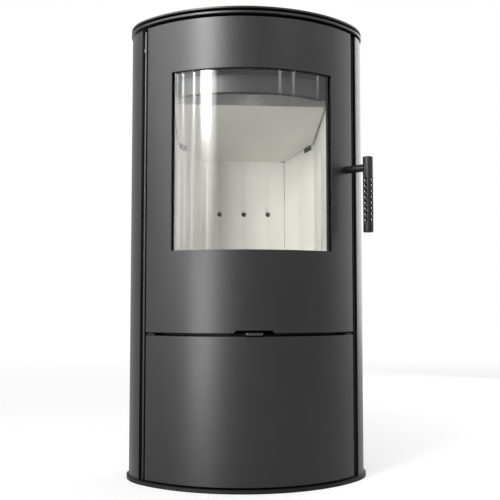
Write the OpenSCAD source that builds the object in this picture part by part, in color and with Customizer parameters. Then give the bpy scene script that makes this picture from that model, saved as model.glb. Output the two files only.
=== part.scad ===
// Free-standing wood stove with an oval plan, a bowed glazed firebox door, a bowed
// storage door below it and a hanging perforated-tube handle. Millimetres, +Z up.
// Origin: centre of the base plate's footprint, on the floor. The front faces -Y.

/* [Overall] */
// Height from the floor to the top of the top plate
stove_h = 926; // [860:1:1000]
// Half of the body's width over the side panels
half_w = 242.5; // [225:0.5:270]
// Half of the body's depth over the bowed front and back
half_d = 177.64; // [172:0.02:190]
// Radius of the rounded sides
side_r = 123; // [110:1:130]
// Sheet thickness of the side and rear panels
panel_t = 2; // [1.5:0.5:3]
// Sheet thickness of both door skins
skin_t = 3; // [2:0.5:4]

/* [Plates] */
// Thickness of the base plate
base_t = 7; // [6:0.5:10]
// How far the base plate stands out past the body
base_lip = 4.5; // [3:0.5:8]
// Thickness of the top plate
top_t = 4; // [3:0.5:6]
// Thickness of the deck plate under the top plate
deck_t = 4.8; // [4:0.2:6]
// Shadow gap between the top plate and the deck plate
top_gap = 4.8; // [3:0.2:7]
// Shadow gap between the deck plate and the doors
deck_gap = 6; // [4:0.5:8]
// How far both upper plates stand out past the body
top_lip = 2.5; // [1:0.5:5]

/* [Doors] */
// Distance of the doors' edges from the end of the front bow
door_end = 8.6; // [7:0.1:10]
// Bottom edge of the firebox door
door_z0 = 296.7; // [296:0.1:299]
// Gap between the two doors
seam = 6.3; // [6.2:0.1:7.5]
// Gap between the base plate and the storage door
foot_gap = 3.4; // [3:0.1:6]
// How far the firebox door opens
door_swing = 105; // [60:5:105]
// Distance of the hinge line from the doors' edge, along the bow
hinge_edge = 4.7; // [4.5:0.1:5.5]
// Distance of the hinge line behind the doors' face
hinge_in = 10.5; // [10:0.1:11]
// Radius of the hinge pins
hinge_r = 4; // [3:0.5:4]

/* [Window] */
// Width of the door skin beside the window, along the bow
window_side = 64.2; // [60:0.1:80]
// Bottom edge of the window
window_z0 = 455; // [452:1:470]
// Height of the door skin above the window
window_head = 100.4; // [98:0.2:120]
// Thickness of the glass
glass_t = 4; // [3:0.5:5]
// How far the glass reaches past the window edge
glass_lap = 11; // [8:1:13]

/* [Firebox] */
// Thickness of the insulating bricks
brick_t = 25; // [20:1:26]
// Top of the firebox bricks' floor
fire_z0 = 400; // [395:1:405]
// Distance of the lining's front corners from the side rails
fire_side = 32.9; // [32:0.1:36]
// How much narrower each half of the fire is at the bend than at the front
fire_taper = 9; // [4:1:16]
// Width of each splayed corner of the fire
fire_splay = 58; // [50:1:66]
// Distance of the fire's back wall from the body's back
fire_back = 87.64; // [86:0.02:98]
// Depth of each splayed corner of the fire
fire_corner = 60; // [50:1:66]
// Distance of the baffle's rear edge from the top of the firebox
baffle_drop = 211.4; // [200:0.2:220]
// Slope of the baffle
baffle_slope = 25.8; // [20:0.2:27]
// Thickness of the baffle
baffle_t = 22; // [18:1:25]
// Radius of the air jets in the back wall
jet_r = 5.5; // [3:0.5:6]
// Spacing of the air jets
jet_pitch = 54; // [40:1:60]
// Height of the air jets
jet_z = 551; // [520:1:580]

/* [Flue and air] */
// Outer radius of the flue spigot
flue_r = 78; // [66:0.5:79]
// Wall of the flue spigot
flue_wall = 2; // [1.5:0.5:3]
// How far the spigot stands above the top plate
flue_up = 45; // [30:1:55]
// Distance of the flue's centre from the body's back
flue_back = 143.64; // [141.64:0.5:147.64]
// Inner radius of the outside-air tube
air_r = 38; // [30:1:40]
// Distance of the outside-air tube from the body's back
air_back = 55.64; // [54:0.02:60]

/* [Handle] */
// Distance of the handle's arm from the door's edge, along the bow
arm_edge = 15.2; // [14:0.1:16]
// Height of the handle's arm
arm_z = 622.4; // [560:0.2:680]
// Radius of the arm's pin in the door
arm_r = 4.5; // [3.5:0.5:5]
// Radius of the arm outside the door
sleeve_r = 7.6; // [6:0.1:8]
// Distance of the grip's centre line from the door's face
standoff = 48.5; // [40:0.5:60]
// Radius of the grip tube
grip_r = 10; // [9:0.1:11]
// Length of the grip tube
grip_len = 150.4; // [136:0.2:170]
// Length of grip above the arm
grip_up = 21.1; // [18:0.1:30]
// Wall of the grip tube
grip_wall = 1.5; // [1:0.1:2]
// Rows of vent holes in the grip
hole_rows = 8; // [4:1:8]
// Spacing of the vent rows
hole_pitch = 11.4; // [9:0.1:12]
// Radius of a vent hole
hole_r = 3.6; // [2.5:0.1:3.8]
// How far the handle turns to lock
handle_turn = 75; // [45:5:80]

/* [Air lever and ash pan] */
// Width of the air lever's knob
knob_w = 33; // [24:1:36]
// Half angle of the air lever's swing
lever_swing = 11; // [6:1:11]
// Depth of the ash pan
pan_h = 42; // [30:1:44]
// How far the ash pan slides out
pan_travel = 180; // [120:5:190]

/* [Hidden] */
$fn = 96;

steel = [0.16, 0.16, 0.165];
dark_steel = [0.07, 0.07, 0.075];
raw_steel = [0.45, 0.45, 0.46];
cream = [0.82, 0.79, 0.72];
rope = [0.32, 0.31, 0.29];

// Clearances: welded or screwed pieces, moving pieces, pins in their bores
fit_gap = 0.3;
run_gap = 0.3;
pin_gap = 0.05;
eps = 0.01;

// Plan: the front and back arcs meet the side arcs where both share a normal
side_cx = half_w - side_r;
front_r = (pow(side_cx, 2) + pow(half_d, 2) - pow(side_r, 2)) / (2 * (half_d - side_r));
front_cy = front_r - half_d;
arc_a = atan2(side_cx, front_cy);
front_y = half_d;
door_a = arc_a - arc_len_a(door_end);

// Heights from the floor up
deck_z = stove_h - top_t - top_gap - deck_t;
door_z1 = deck_z - deck_gap;
window_z1 = door_z1 - window_head;
store_z0 = base_t + foot_gap;
store_z1 = door_z0 - seam;

// Layers of the firebox door, measured inwards from the body's outline
glass_seal_t = 2;
seal_gap = 0.1;
glass_in = skin_t + glass_seal_t;
frame_in = glass_in + glass_t;
frame_t = 2;
rib_d = 6;
rope_d = 10;
rope_in = frame_in + frame_t;
front_in = rope_in + rope_d + run_gap;
front_t = 4;

// The gasket ring runs round the glass; the firebox opening lies inside it
ring_t = 2;
rope_w = 10;
window_a = door_a - arc_len_a(window_side);
glass_a = window_a + arc_len_a(glass_lap);
glass_z0 = window_z0 - glass_lap;
glass_z1 = window_z1 + glass_lap;
ring_gap = 6;
rope_a0 = glass_a + arc_len_a(ring_gap);
rope_a1 = rope_a0 + arc_len_a(rope_w);
rope_z0 = glass_z0 - ring_gap - rope_w;
rope_z1 = glass_z1 + ring_gap + rope_w;
opening_out = 10.3;
opening_a = window_a + arc_len_a(opening_out);
opening_z0 = fire_z0 + 40;
opening_z1 = window_z1 - 6;
inner_a = rope_a1 + arc_len_a(ring_t);

// Firebox shell round the bricks
shell_gap = 1;
shell_t = 4;
floor_t = 5;
shell_z0 = fire_z0 - brick_t - floor_t;
shell_z1 = door_z1 - 26;
fire_back_y = half_d - fire_back;
fire_bend_y = fire_back_y - fire_corner;
baffle_z0 = shell_z1 - baffle_drop;
shell_back_y = fire_back_y + brick_t + shell_gap + shell_t;
channel_d = 16;
front_z1 = door_z1 - 4;
wash_z0 = opening_z1 - 35.5;

// Side rails beside the doors: the bright strips in the shadow gaps
rail_gap = 2.06;
rail_x = front_r * sin(door_a) + rail_gap;
rail_t = 4;
rail_in = 10.9;
rail_y0 = -on_front(door_a, 0).y - rail_in;
rail_y1 = rail_y0 - 40;
rail_flange = 18;
rail_z1 = door_z1 - 3;
casing_gap = 10.65;
casing_a = arc_a + casing_gap / side_r * 180 / PI;
rear_a = 27;
fire_front_x = rail_x - rail_flange - fire_side;
fire_bend_x = fire_front_x - fire_taper;
fire_back_x = fire_bend_x - fire_splay;

// Ash and storage levels
ceiling_t = 3;
ceiling_z = store_z1 + 0.8;
lever_t = 2.7;
lever_z = ceiling_z + ceiling_t + 0.6;
airbox_z = lever_z + lever_t + 0.4;
plate_t = 2;
airbox_x = 132;
airbox_gap = 3.1;
airbox_y0 = behind_at(airbox_x, front_in + front_t + airbox_gap);
lever_y = airbox_y0 + 34;
disc_r = 30;
air_y = half_d - air_back;
flue_y = half_d - flue_back;
air_wall = 2;
liner_gap = 2.9;
liner_x = rail_x - rail_flange - liner_gap - plate_t;
liner_y0 = -rail_y0;
liner_y1 = air_y - air_r - air_wall - 2;
chute_x = 70;
chute_y0 = lever_y + disc_r + 6;
chute_y1 = liner_y1 - 14;
pan_z0 = ceiling_z - 6 - pan_h;
pan_x = 92;
pan_room = 49.64;
pan_y0 = -half_d + pan_room;
pan_y1 = liner_y1 - plate_t - 2;
runner_y0 = pan_y0 + 18;

// Hinge line behind the doors' left edge
hinge_a = door_a - arc_len_a(hinge_edge);
hinge = on_front(-hinge_a, hinge_in);
arm_a = door_a - arc_len_a(arm_edge);
lug_t = 4;
lug_r = 8;

function arc_len_a(mm) = mm / front_r * 180 / PI;
// The y of the front bow's inside at a depth behind the outline
function behind_at(x, d) = front_cy - sqrt(pow(front_r - d, 2) - pow(x, 2));
// The half width of the body's bowed back at depth y, inside the outline by d
function back_half(y, d) = sqrt(pow(front_r - d, 2) - pow(front_cy + y, 2));
function on_front(a, d) = [(front_r - d) * sin(a), front_cy - (front_r - d) * cos(a)];
// A point beside the handle's arm: u outwards from the door's face, v towards the right
function by_arm(u, v) = on_front(arm_a, -u) + v * [cos(arm_a), sin(arm_a)];

// Outline helpers -----------------------------------------------------------------

// Pie piece that holds a circle of radius r between two angles from the front
module wedge(r, a0, a1)
    polygon(concat([[0, 0]], [for (i = [0:4]) let (a = a0 + (a1 - a0) * i / 4)
        1.3 * r * [sin(a), -cos(a)]]));

// Curved sheet on the front arc, between two depths behind the outline
module front_sheet(d0, d1, a0, a1, z0, z1)
    translate([0, front_cy, z0]) linear_extrude(z1 - z0) intersection() {
        difference() { circle(front_r - d0); circle(front_r - d1); }
        wedge(front_r, a0, a1);
    }

// Solid block behind the front arc, used as a cutter
module front_block(d0, a0, a1, z0, z1)
    translate([0, front_cy, z0]) linear_extrude(z1 - z0) intersection() {
        circle(front_r - d0);
        wedge(front_r - d0, a0, a1);
    }

// Curved frame: an outer window less an inner one
module front_ring(d0, d1, a1, z0, z1, ai, zi0, zi1)
    difference() {
        front_sheet(d0, d1, -a1, a1, z0, z1);
        front_block(-5, -ai, ai, zi0, zi1);
    }

// The body's oval outline, grown outwards by off
module oval(off) {
    tip = [side_r * sin(arc_a), side_r * cos(arc_a)];
    for (s = [1, -1]) scale([1, s]) translate([0, front_cy]) intersection() {
        circle(front_r + off);
        wedge(front_r + off, -arc_a, arc_a);
    }
    for (s = [1, -1]) scale([s, 1]) translate([side_cx, 0]) intersection() {
        circle(side_r + off);
        polygon([[-side_cx, 0], 1.5 * tip, [2 * side_r, 1.5 * tip.y],
            [2 * side_r, -1.5 * tip.y], [1.5 * tip.x, -1.5 * tip.y]]);
    }
}

// Corner points of the fire's plan, from the left front round the back to the right
fire_front_y = behind_at(fire_front_x, front_in + front_t) + 2.7;
fire_line = [[-fire_front_x, fire_front_y], [-fire_bend_x, fire_bend_y],
    [-fire_back_x, fire_back_y], [fire_back_x, fire_back_y],
    [fire_bend_x, fire_bend_y], [fire_front_x, fire_front_y]];
function normal(i) = let (d = fire_line[i + 1] - fire_line[i]) [-d.y, d.x] / norm(d);
function grown(t) = [for (i = [0:5]) let (a = normal(max(i - 1, 0)), b = normal(min(i, 4)))
    fire_line[i] + (a + b) * t / (1 + a * b)];
function reversed(list) = [for (i = [len(list) - 1:-1:0]) list[i]];

// Space in front of which the firebox front plate stands
module behind_front(d, z0, z1)
    translate([0, front_cy, z0]) cylinder(r = front_r - d, h = z1 - z0);

// One insulating brick on segment i of the fire's plan
brick_joint = 0.9;
module brick(i, z0, z1) {
    inner = grown(0);
    outer = grown(brick_t);
    along = (fire_line[i + 1] - fire_line[i]) / norm(fire_line[i + 1] - fire_line[i]);
    cut = along * brick_joint / 2;
    intersection() {
        translate([0, 0, z0]) linear_extrude(z1 - z0)
            polygon([inner[i] + cut, inner[i + 1] - cut, outer[i + 1] - cut, outer[i] + cut]);
        behind_front(front_in + front_t + shell_gap, z0 - 1, z1 + 1);
    }
}

// Shallow vertical grooves in a brick's face, on segment i at distances from its start
groove_w = 1.6;
groove_d = 1;
module grooves(i, places, z0, z1) {
    along = (fire_line[i + 1] - fire_line[i]) / norm(fire_line[i + 1] - fire_line[i]);
    for (s = places) let (p = fire_line[i] + along * s)
        translate([p.x, p.y, z0]) rotate(atan2(along.y, along.x))
            translate([-groove_w / 2, -1, -1]) cube([groove_w, groove_d + 1, z1 - z0 + 2]);
}

// Base, casing and top ------------------------------------------------------------

module base_plate() color(steel) difference() {
    linear_extrude(base_t) oval(base_lip);
    translate([0, air_y, -1]) cylinder(r = air_r + air_wall, h = base_t + 2);
    translate([hinge.x, hinge.y, base_t - 4]) cylinder(r = hinge_r, h = 5);
}

module air_inlet_tube() color(raw_steel) translate([0, air_y, 0]) difference() {
    cylinder(r = air_r + air_wall, h = airbox_z);
    translate([0, 0, -1]) cylinder(r = air_r, h = airbox_z + 2);
}

// Screw places in the overlap of the rear sheet and the side sheets
screw_r = 2;
rear_lap = 3;
module at_screws(sides)
    for (s = sides, z = [40, 320, 600, door_z1 - 30])
        translate([0, -front_cy, z]) rotate(180 + s * (rear_a + rear_lap / 2))
            translate([0, -front_r, 0]) rotate([90, 0, 0]) children();

// One bent side sheet: round the side, along the back, with a folded front edge
fold_w = 5;
module side_panel(s) scale([s, 1, 1]) translate([0, 0, base_t])
    linear_extrude(door_z1 - base_t) union() {
        front_dir = [sin(casing_a), -cos(casing_a)];
        rear_dir = [sin(rear_a), cos(rear_a)];
        intersection() {
            difference() { oval(0); oval(-panel_t); }
            polygon([[side_cx, 0], [side_cx, 0] + 2 * side_r * front_dir, [2 * half_w, -side_r],
                [2 * half_w, 2 * side_r], [0, -front_cy] + 2 * front_r * rear_dir,
                [0, -front_cy] + 0.7 * front_r * rear_dir]);
        }
        translate([side_cx, 0]) rotate(casing_a)
            translate([0, -side_r + panel_t / 2]) square([panel_t, fold_w]);
    }
module side_panel_left() color(steel) difference() {
    side_panel(-1);
    at_screws([1]) cylinder(r = screw_r, h = 20, center = true);
}
module side_panel_right() color(steel) difference() {
    side_panel(1);
    at_screws([-1]) cylinder(r = screw_r, h = 20, center = true);
}

// Rear sheet with rows of convection slots near its top and bottom
slot_w = 34;
slot_h = 6;
slot_rows = 4;
slot_low = 90;
slot_drop = 110;
slot_cols = 4;
module rear_panel() color(steel) difference() {
    translate([0, -front_cy, base_t]) linear_extrude(door_z1 - base_t) intersection() {
        difference() {
            circle(front_r - panel_t - fit_gap / 3);
            circle(front_r - 2 * panel_t - fit_gap / 3);
        }
        wedge(front_r, 180 - rear_a - rear_lap, 180 + rear_a + rear_lap);
    }
    for (zc = [slot_low, door_z1 - slot_drop], row = [0:slot_rows - 1], col = [0:slot_cols - 1])
        translate([(col - (slot_cols - 1) / 2) * (slot_w + 12) - slot_w / 2,
            front_y - 30, zc + row * 16]) cube([slot_w, 60, slot_h]);
    at_screws([1, -1]) cylinder(r = screw_r, h = 20, center = true);
}

// Round-head screws through the overlap of the rear sheet and the side sheets
module panel_screws() color(raw_steel) at_screws([1, -1]) rotate_extrude()
    polygon([[0, -7], [screw_r, -7], [screw_r, 0], [4.5, 0], [4, 1.6], [2.6, 2.4], [0, 2.6]]);

// Rail beside the doors: its front edge shows as a strip in the shadow gap
module frame_rail(s) color(steel) scale([s, 1, 1]) translate([0, 0, base_t])
    linear_extrude(rail_z1 - base_t) union() {
        translate([rail_x, -rail_y0]) square([rail_t, rail_y0 - rail_y1]);
        translate([rail_x - rail_flange, -rail_y1 - rail_t]) square([rail_flange + 1, rail_t]);
    }
module frame_rail_left() frame_rail(-1);
module frame_rail_right() frame_rail(1);

spigot_hole = flue_r + 3;
collar_w = 6;
module deck_plate() color(steel) translate([0, 0, deck_z]) difference() {
    linear_extrude(deck_t) oval(top_lip);
    translate([0, flue_y, -1]) cylinder(r = spigot_hole, h = deck_t + 2);
}
module top_plate() color(steel) translate([0, 0, stove_h - top_t]) difference() {
    linear_extrude(top_t) oval(top_lip);
    translate([0, flue_y, -1]) cylinder(r = spigot_hole, h = top_t + 2);
}
post_x = fire_front_x - 8;
post_y = shell_back_y - 20;
post_places = [[-post_x, -60], [post_x, -60], [-post_x + 40, post_y], [post_x - 40, post_y]];
module top_spacers() color(dark_steel) for (p = post_places)
    translate([p.x, p.y, deck_z + deck_t]) cylinder(r = 11, h = top_gap);
module deck_posts() color(dark_steel) for (p = post_places)
    translate([p.x, p.y, shell_z1 + shell_t]) cylinder(r = 8, h = deck_z - shell_z1 - shell_t);

module flue_spigot() color(dark_steel) translate([0, flue_y, shell_z1]) difference() {
    union() {
        cylinder(r = flue_r, h = stove_h + flue_up - shell_z1);
        translate([0, 0, shell_t]) cylinder(r = flue_r + collar_w, h = 3);
    }
    translate([0, 0, -1]) cylinder(r = flue_r - flue_wall, h = stove_h + flue_up);
}

// Firebox -------------------------------------------------------------------------

module shell_plan(t0, t1) polygon(concat(grown(t1), reversed(grown(t0))));
module firebox_shell() color(dark_steel) difference() {
    intersection() {
        translate([0, 0, shell_z0]) linear_extrude(shell_z1 - shell_z0)
            shell_plan(brick_t + shell_gap, brick_t + shell_gap + shell_t);
        behind_front(front_in + front_t, shell_z0 - 1, shell_z1 + 1);
    }
    for (i = [-1:1]) translate([i * jet_pitch, fire_back_y, jet_z])
        rotate([-90, 0, 0]) cylinder(r = jet_r + 1, h = 60);
}

module chute_hole(grow) translate([-chute_x - grow, chute_y0 - grow])
    square([2 * (chute_x + grow), chute_y1 - chute_y0 + 2 * grow]);

module firebox_floor() color(dark_steel) intersection() {
    translate([0, 0, shell_z0]) linear_extrude(floor_t) difference() {
        polygon(grown(brick_t + shell_gap - fit_gap));
        chute_hole(-6);
    }
    behind_front(front_in + front_t + fit_gap / 3, shell_z0 - 1, shell_z1);
}

module firebox_top() color(dark_steel) difference() {
    intersection() {
        translate([0, 0, shell_z1]) linear_extrude(shell_t)
            polygon(grown(brick_t + shell_gap + shell_t));
        behind_front(front_in + front_t, shell_z1 - 1, shell_z1 + shell_t + 1);
    }
    translate([0, flue_y, shell_z1 - 1]) cylinder(r = flue_r, h = shell_t + 2);
}

front_a = door_a - arc_len_a(4.9);
notch_h = 60;
front_apron = 40;
module firebox_front() color(dark_steel) difference() {
    front_sheet(front_in, front_in + front_t, -front_a, front_a,
        shell_z0 - front_apron, front_z1);
    front_block(0, -opening_a, opening_a, opening_z0, opening_z1);
    // Notch that leaves room for the latch
    front_block(0, inner_a + 0.3, front_a + 1, arm_z - notch_h / 2, arm_z + notch_h / 2);
}

// Deflector for the air wash, folded inwards at its foot, on three bosses
wash_gap = 1.2;
wash_lap = 8;
wash_fold = 16;
module air_wash_plate() color(dark_steel) union() {
    d = front_in + front_t;
    front_sheet(d + wash_gap, d + wash_gap + plate_t, -opening_a, opening_a,
        wash_z0, opening_z1 + wash_lap);
    front_sheet(d + wash_gap + eps, d + wash_gap + wash_fold, -opening_a, opening_a,
        wash_z0, wash_z0 + plate_t);
    boss_a = opening_a - arc_len_a(56);
    half = arc_len_a(6);
    for (a = [-boss_a, 0, boss_a])
        front_sheet(d, d + wash_gap + eps, a - half, a + half, opening_z1 + 1.5,
            opening_z1 + wash_lap - 1.5);
}

// Bricks: back, corners and sides stand on the floor plate
back_top = baffle_z0;
corner_rise = 50;
side_rise = 120;
corner_top = baffle_z0 + corner_rise;
side_top = baffle_z0 + side_rise;
brick_z0 = fire_z0 - brick_t;
module back_brick() color(cream) difference() {
    brick(2, brick_z0, back_top);
    for (i = [-1:1]) translate([i * jet_pitch, fire_back_y - 1, jet_z])
        rotate([-90, 0, 0]) cylinder(r = jet_r, h = brick_t + 2);
    grooves(2, [for (i = [-1:1]) fire_back_x + i * jet_pitch], fire_z0, back_top);
}
corner_len = norm(fire_line[2] - fire_line[1]);
side_len = norm(fire_line[1] - fire_line[0]);
module corner_brick_left() color(cream) difference() {
    brick(1, brick_z0, corner_top);
    grooves(1, [corner_len / 2], fire_z0, corner_top);
}
module corner_brick_right() color(cream) difference() {
    brick(3, brick_z0, corner_top);
    grooves(3, [corner_len / 2], fire_z0, corner_top);
}
module side_brick_left() color(cream) difference() {
    brick(0, brick_z0, side_top);
    grooves(0, [side_len / 2], fire_z0, side_top);
}
module side_brick_right() color(cream) difference() {
    brick(4, brick_z0, side_top);
    grooves(4, [side_len / 2], fire_z0, side_top);
}

// Floor bricks round the grate: front, back, left and right
grate_x = chute_x + 8;
grate_y0 = chute_y0 - 8;
grate_y1 = chute_y1 - 4;
module floor_bricks() color(cream) intersection() {
    translate([0, 0, brick_z0]) linear_extrude(brick_t) {
        g = fit_gap;
        inside = grown(-fit_gap);
        intersection() {
            polygon(inside);
            union() {
                translate([-half_w, -half_d]) square([2 * half_w, half_d + grate_y0 - g]);
                translate([-half_w, grate_y1 + g]) square([2 * half_w, half_d]);
                for (s = [1, -1]) translate([s > 0 ? grate_x + g : -half_w, grate_y0])
                    square([half_w - grate_x - g, grate_y1 - grate_y0]);
            }
        }
    }
    behind_front(front_in + front_t + shell_gap, brick_z0 - 1, fire_z0 + 1);
}

// Cast grate: a frame with parallel bars
bar_count = 8;
bar_w = 8;
grate_t = 16;
module grate() color(dark_steel) translate([0, 0, fire_z0 - brick_t]) {
    w = 2 * grate_x;
    d = grate_y1 - grate_y0;
    difference() {
        translate([-grate_x, grate_y0, 0]) cube([w, d, grate_t]);
        translate([-grate_x + 12, grate_y0 + 10, -1]) cube([w - 24, d - 20, grate_t + 2]);
    }
    for (i = [1:bar_count]) translate([-grate_x + 6 + i * (w - 12) / (bar_count + 1)
        - bar_w / 2, grate_y0 + 5, 4]) cube([bar_w, d - 10, grate_t - 4]);
}

// Sloping baffle: rests on the back brick and on two brackets, cut square at the front
baffle_y0 = behind_at(fire_front_x, front_in + front_t + wash_gap + plate_t) + 9.6;
baffle_y1 = fire_back_y + 10;
baffle_gap = 1.5;
side_gap = 3.5;
rise = tan(baffle_slope) * (fire_back_y - baffle_y0);
module baffle() color(cream) intersection() {
    up = baffle_t / cos(baffle_slope);
    rotate([90, 0, 90]) translate([0, 0, -half_w]) linear_extrude(2 * half_w)
        polygon([[baffle_y0, baffle_z0 + rise], [fire_back_y, baffle_z0],
            [baffle_y1, baffle_z0], [baffle_y1, baffle_z0 + up - 4],
            [fire_back_y, baffle_z0 + up], [baffle_y0, baffle_z0 + rise + up]]);
    // Plan: clear of the corner and side bricks, with a tongue that lies on the back brick
    g = grown(-baffle_gap);
    side = [side_gap - baffle_gap, 0];
    x = fire_back_x - 8;
    translate([0, 0, baffle_z0 - 1]) linear_extrude(rise + 2 * up) polygon([g[0] + side, g[1] + side,
        g[2], [-x, g[2].y], [-x, baffle_y1 + 1], [x, baffle_y1 + 1], [x, g[3].y], g[3],
        g[4] - side, g[5] - side]);
}

// Steel lugs on the corner bricks that carry the baffle
bracket_out = 5;
bracket_h = 7;
bracket_at = 16;
module baffle_brackets() color(dark_steel) for (s = [1, -1]) {
    d = (fire_line[2] - fire_line[1]) / corner_len;
    p = fire_line[1] + d * bracket_at;
    intersection() {
        scale([s, 1, 1]) translate([p.x, p.y, baffle_z0 - bracket_h]) rotate(atan2(d.y, d.x))
            translate([-8, -bracket_out, 0]) cube([16, bracket_out, rise + bracket_h]);
        rotate([90, 0, 90]) translate([0, 0, -half_w]) linear_extrude(2 * half_w)
            polygon([[baffle_y0, baffle_z0 + rise - bracket_h],
                [fire_back_y, baffle_z0 - bracket_h],
                [fire_back_y, baffle_z0], [baffle_y0, baffle_z0 + rise]]);
    }
}

// Flat steel plate above the baffle, resting on angle lugs at the shell's sides
deflector_z = shell_z1 - 62;
deflector_y0 = -50;
deflector_y1 = fire_bend_y - 10;
module smoke_deflector() color(dark_steel) {
    outer = grown(brick_t + shell_gap);
    inner = grown(brick_t + shell_gap - 3);
    translate([0, 0, deflector_z]) linear_extrude(3) intersection() {
        polygon(outer);
        translate([-half_w, deflector_y0]) square([2 * half_w, deflector_y1 - deflector_y0]);
    }
    translate([0, 0, deflector_z]) linear_extrude(22) intersection() {
        polygon(concat(outer, reversed(inner)));
        translate([-half_w, deflector_y0]) square([2 * half_w, deflector_y1 - deflector_y0]);
    }
}

module ash_chute() color(dark_steel) translate([0, 0, ceiling_z])
    linear_extrude(shell_z0 - ceiling_z) difference() {
        chute_hole(0);
        chute_hole(-2);
    }

// Air box under the firebox: a tray with ports in its floor and a collector at the back
collector_x = jet_pitch + 12;
collector_y1 = air_y + air_r + 4;
airbox_y1 = air_y - 18;
port_count = 4;
tray_rim = 8;
module ports(z, h) for (i = [0:port_count - 1]) rotate(45 + i * 360 / port_count)
    translate([disc_r * 0.62, 0, z]) cylinder(r = 6.5, h = h);
module airbox_plan(inset) {
    translate([-airbox_x + inset, airbox_y0 + inset])
        square([2 * (airbox_x - inset), airbox_y1 - airbox_y0 - 2 * inset]);
    translate([-collector_x + inset, airbox_y1 - 20])
        square([2 * (collector_x - inset), collector_y1 - airbox_y1 + 20 - inset]);
}
module air_box() color(dark_steel) difference() {
    translate([0, 0, airbox_z]) linear_extrude(shell_z0 - airbox_z) airbox_plan(0);
    translate([0, 0, airbox_z + plate_t])
        linear_extrude(shell_z0 - airbox_z - 2 * plate_t) airbox_plan(plate_t);
    // Open top under the firebox floor, and a slot up into the jet channel
    translate([-airbox_x + tray_rim, airbox_y0 + tray_rim, shell_z0 - plate_t - 1])
        cube([2 * (airbox_x - tray_rim), airbox_y1 - airbox_y0 - 2 * tray_rim, plate_t + 2]);
    translate([-collector_x + plate_t, shell_back_y, shell_z0 - plate_t - 1])
        cube([2 * (collector_x - plate_t), channel_d - plate_t, plate_t + 2]);
    translate([0, air_y, airbox_z - 1]) cylinder(r = air_r, h = plate_t + 2);
    translate([0, 0, airbox_z - 1]) linear_extrude(plate_t + 2) chute_hole(fit_gap);
    translate([0, lever_y, 0]) {
        ports(airbox_z - 1, plate_t + 2);
        translate([0, 0, airbox_z - 1]) cylinder(r = hinge_r, h = plate_t + 2);
    }
}

// Channel behind the shell that feeds the air jets
module jet_channel() color(dark_steel) difference() {
    top = jet_z + 30;
    translate([-collector_x, shell_back_y, shell_z0])
        cube([2 * collector_x, channel_d, top - shell_z0]);
    translate([-collector_x + plate_t, shell_back_y - 1, shell_z0 - 1])
        cube([2 * (collector_x - plate_t), channel_d + 1 - plate_t, top - shell_z0 + 1 - plate_t]);
}

// Sheet that keeps the heat off the rear panel, on four stand-off bushes
shield_in = 25.64;
shield_t = 1.5;
shield_gap = 1.3;
shield_y = half_d - shield_in;
shield_x = back_half(shield_y + shield_t + shield_gap, 2 * panel_t + fit_gap / 3);
module rear_heat_shield() color(raw_steel) {
    translate([-shield_x, shield_y, shell_z0])
        cube([2 * shield_x, shield_t, shell_z1 - shell_z0 - 20]);
    for (x = [-fire_back_x + 3, fire_back_x - 3], z = [shell_z0 + 40, shell_z1 - 60])
        translate([x, shell_back_y, z])
        rotate([-90, 0, 0]) cylinder(r = 5, h = shield_y - shell_back_y + eps);
}

// Storage compartment, ash pan bay and hinges ---------------------------------------

module storage_liner() color(dark_steel) translate([0, 0, base_t])
    linear_extrude(ceiling_z - base_t) difference() {
        translate([-liner_x - plate_t, liner_y0])
            square([2 * (liner_x + plate_t), liner_y1 - liner_y0]);
        translate([-liner_x, liner_y0 - 1])
            square([2 * liner_x, liner_y1 - liner_y0 + 1 - plate_t]);
    }

// Level plate between the doors: its front corners carry the middle hinge pin
corner_a = door_a - arc_len_a(3);
recess_a = door_a - arc_len_a(23.5);
recess_d = 26;
module storage_ceiling() color(dark_steel) translate([0, 0, ceiling_z])
    linear_extrude(ceiling_t) difference() {
        intersection() {
            translate([0, front_cy]) circle(front_r - 1.2);
            translate([-half_w, -half_d]) square([2 * half_w, half_d + liner_y1]);
            union() {
                translate([-liner_x - plate_t, -half_d])
                    square([2 * (liner_x + plate_t), 2 * half_d]);
                translate([0, front_cy]) wedge(front_r, -corner_a, corner_a);
            }
        }
        // Recess behind the doors' edges, so that the seam stays dark
        intersection() {
            translate([0, front_cy]) difference() {
                circle(front_r);
                circle(front_r - recess_d);
            }
            translate([0, front_cy]) wedge(front_r, -recess_a, recess_a);
        }
        chute_hole(fit_gap);
        translate([0, lever_y]) circle(hinge_r);
        translate(hinge) circle(hinge_r);
    }

// Angle runners under the ceiling plate that carry the ash pan
runner_foot = 8;
runner_t = 3;
module pan_runners() color(dark_steel) for (s = [1, -1]) scale([s, 1, 1]) {
    run = liner_y1 - plate_t - runner_y0;
    z = pan_z0 - runner_t - run_gap;
    translate([pan_x + 1, runner_y0, z]) cube([plate_t, run, ceiling_z - z]);
    translate([pan_x + 1 - runner_foot, runner_y0, z]) cube([runner_foot, run, runner_t]);
}

// Three hinge pins on one line: base plate, ceiling plate and top bracket
pin_lift = 16;
bracket_z = door_z1 - 9;
bracket_t = 2.5;
bracket_r = 7;
module hinge_pins() color(raw_steel) {
    translate([hinge.x, hinge.y, base_t - 4]) cylinder(r = hinge_r, h = pin_lift);
    translate([hinge.x, hinge.y, store_z1 - 8]) cylinder(r = hinge_r, h = 24);
    translate([hinge.x, hinge.y, bracket_z - 12]) cylinder(r = hinge_r, h = 15);
    // Bracket from the firebox front to the top pin
    translate([0, 0, bracket_z + 0.5]) linear_extrude(bracket_t) difference() {
        union() {
            translate(hinge) circle(bracket_r);
            polygon([hinge + [-5, 4], hinge + [5, -4],
                on_front(-hinge_a + arc_len_a(21.8), front_in + 8),
                on_front(-hinge_a + arc_len_a(1.2), front_in + 8)]);
        }
        translate([0, front_cy]) circle(front_r - front_in);
    }
}

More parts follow.
